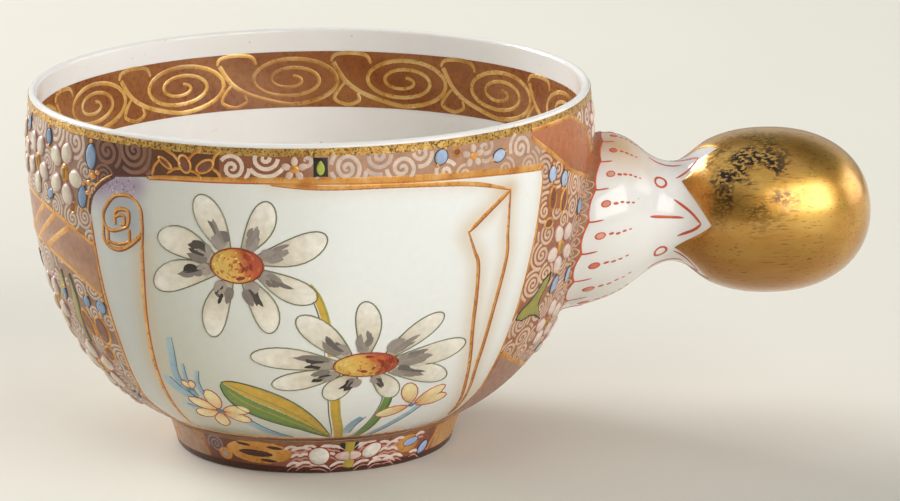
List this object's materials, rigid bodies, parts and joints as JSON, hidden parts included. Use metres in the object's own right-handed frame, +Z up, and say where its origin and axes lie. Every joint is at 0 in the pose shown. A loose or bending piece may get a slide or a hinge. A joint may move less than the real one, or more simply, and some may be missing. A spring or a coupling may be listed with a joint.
{
  "type": "espresso cup",
  "caption": "Round-bellied white espresso cup on a foot ring, with a bell-shaped collar and gilded egg-shaped knob for a handle, enamelled brocade and flower panels.",
  "frame": {"origin": "on the table, under the middle of the whole cup's box, so the bowl's own axis is 16 mm towards -X", "axes": "+Z up, +X from the bowl towards the knob, -Y towards the viewer of the front panel"},
  "size_m": [0.0978, 0.0662, 0.0425],
  "materials": {
    "porcelain": "glossy milky white glaze",
    "gold": "burnished gold, worn",
    "inner_enamel": "red-brown enamel",
    "brocade_enamel": "red-brown and white enamel, slightly raised",
    "foot_enamel": "dark red-brown enamel",
    "flower_enamel": "raised cream enamel"
  },
  "bodies": {
    "root": {"bowl": "porcelain", "foot_ring": "porcelain", "handle_collar": "porcelain", "handle_knob": "porcelain", "rim_gilding": "gold", "knob_gilding": "gold", "panel_border_front": "gold", "panel_border_back": "gold", "inner_band": "inner_enamel", "brocade_ground": "brocade_enamel", "foot_band": "foot_enamel", "daisy_front_upper": "flower_enamel", "daisy_front_lower": "flower_enamel", "daisy_back_upper": "flower_enamel", "daisy_back_lower": "flower_enamel"}
  },
  "joints": []
}
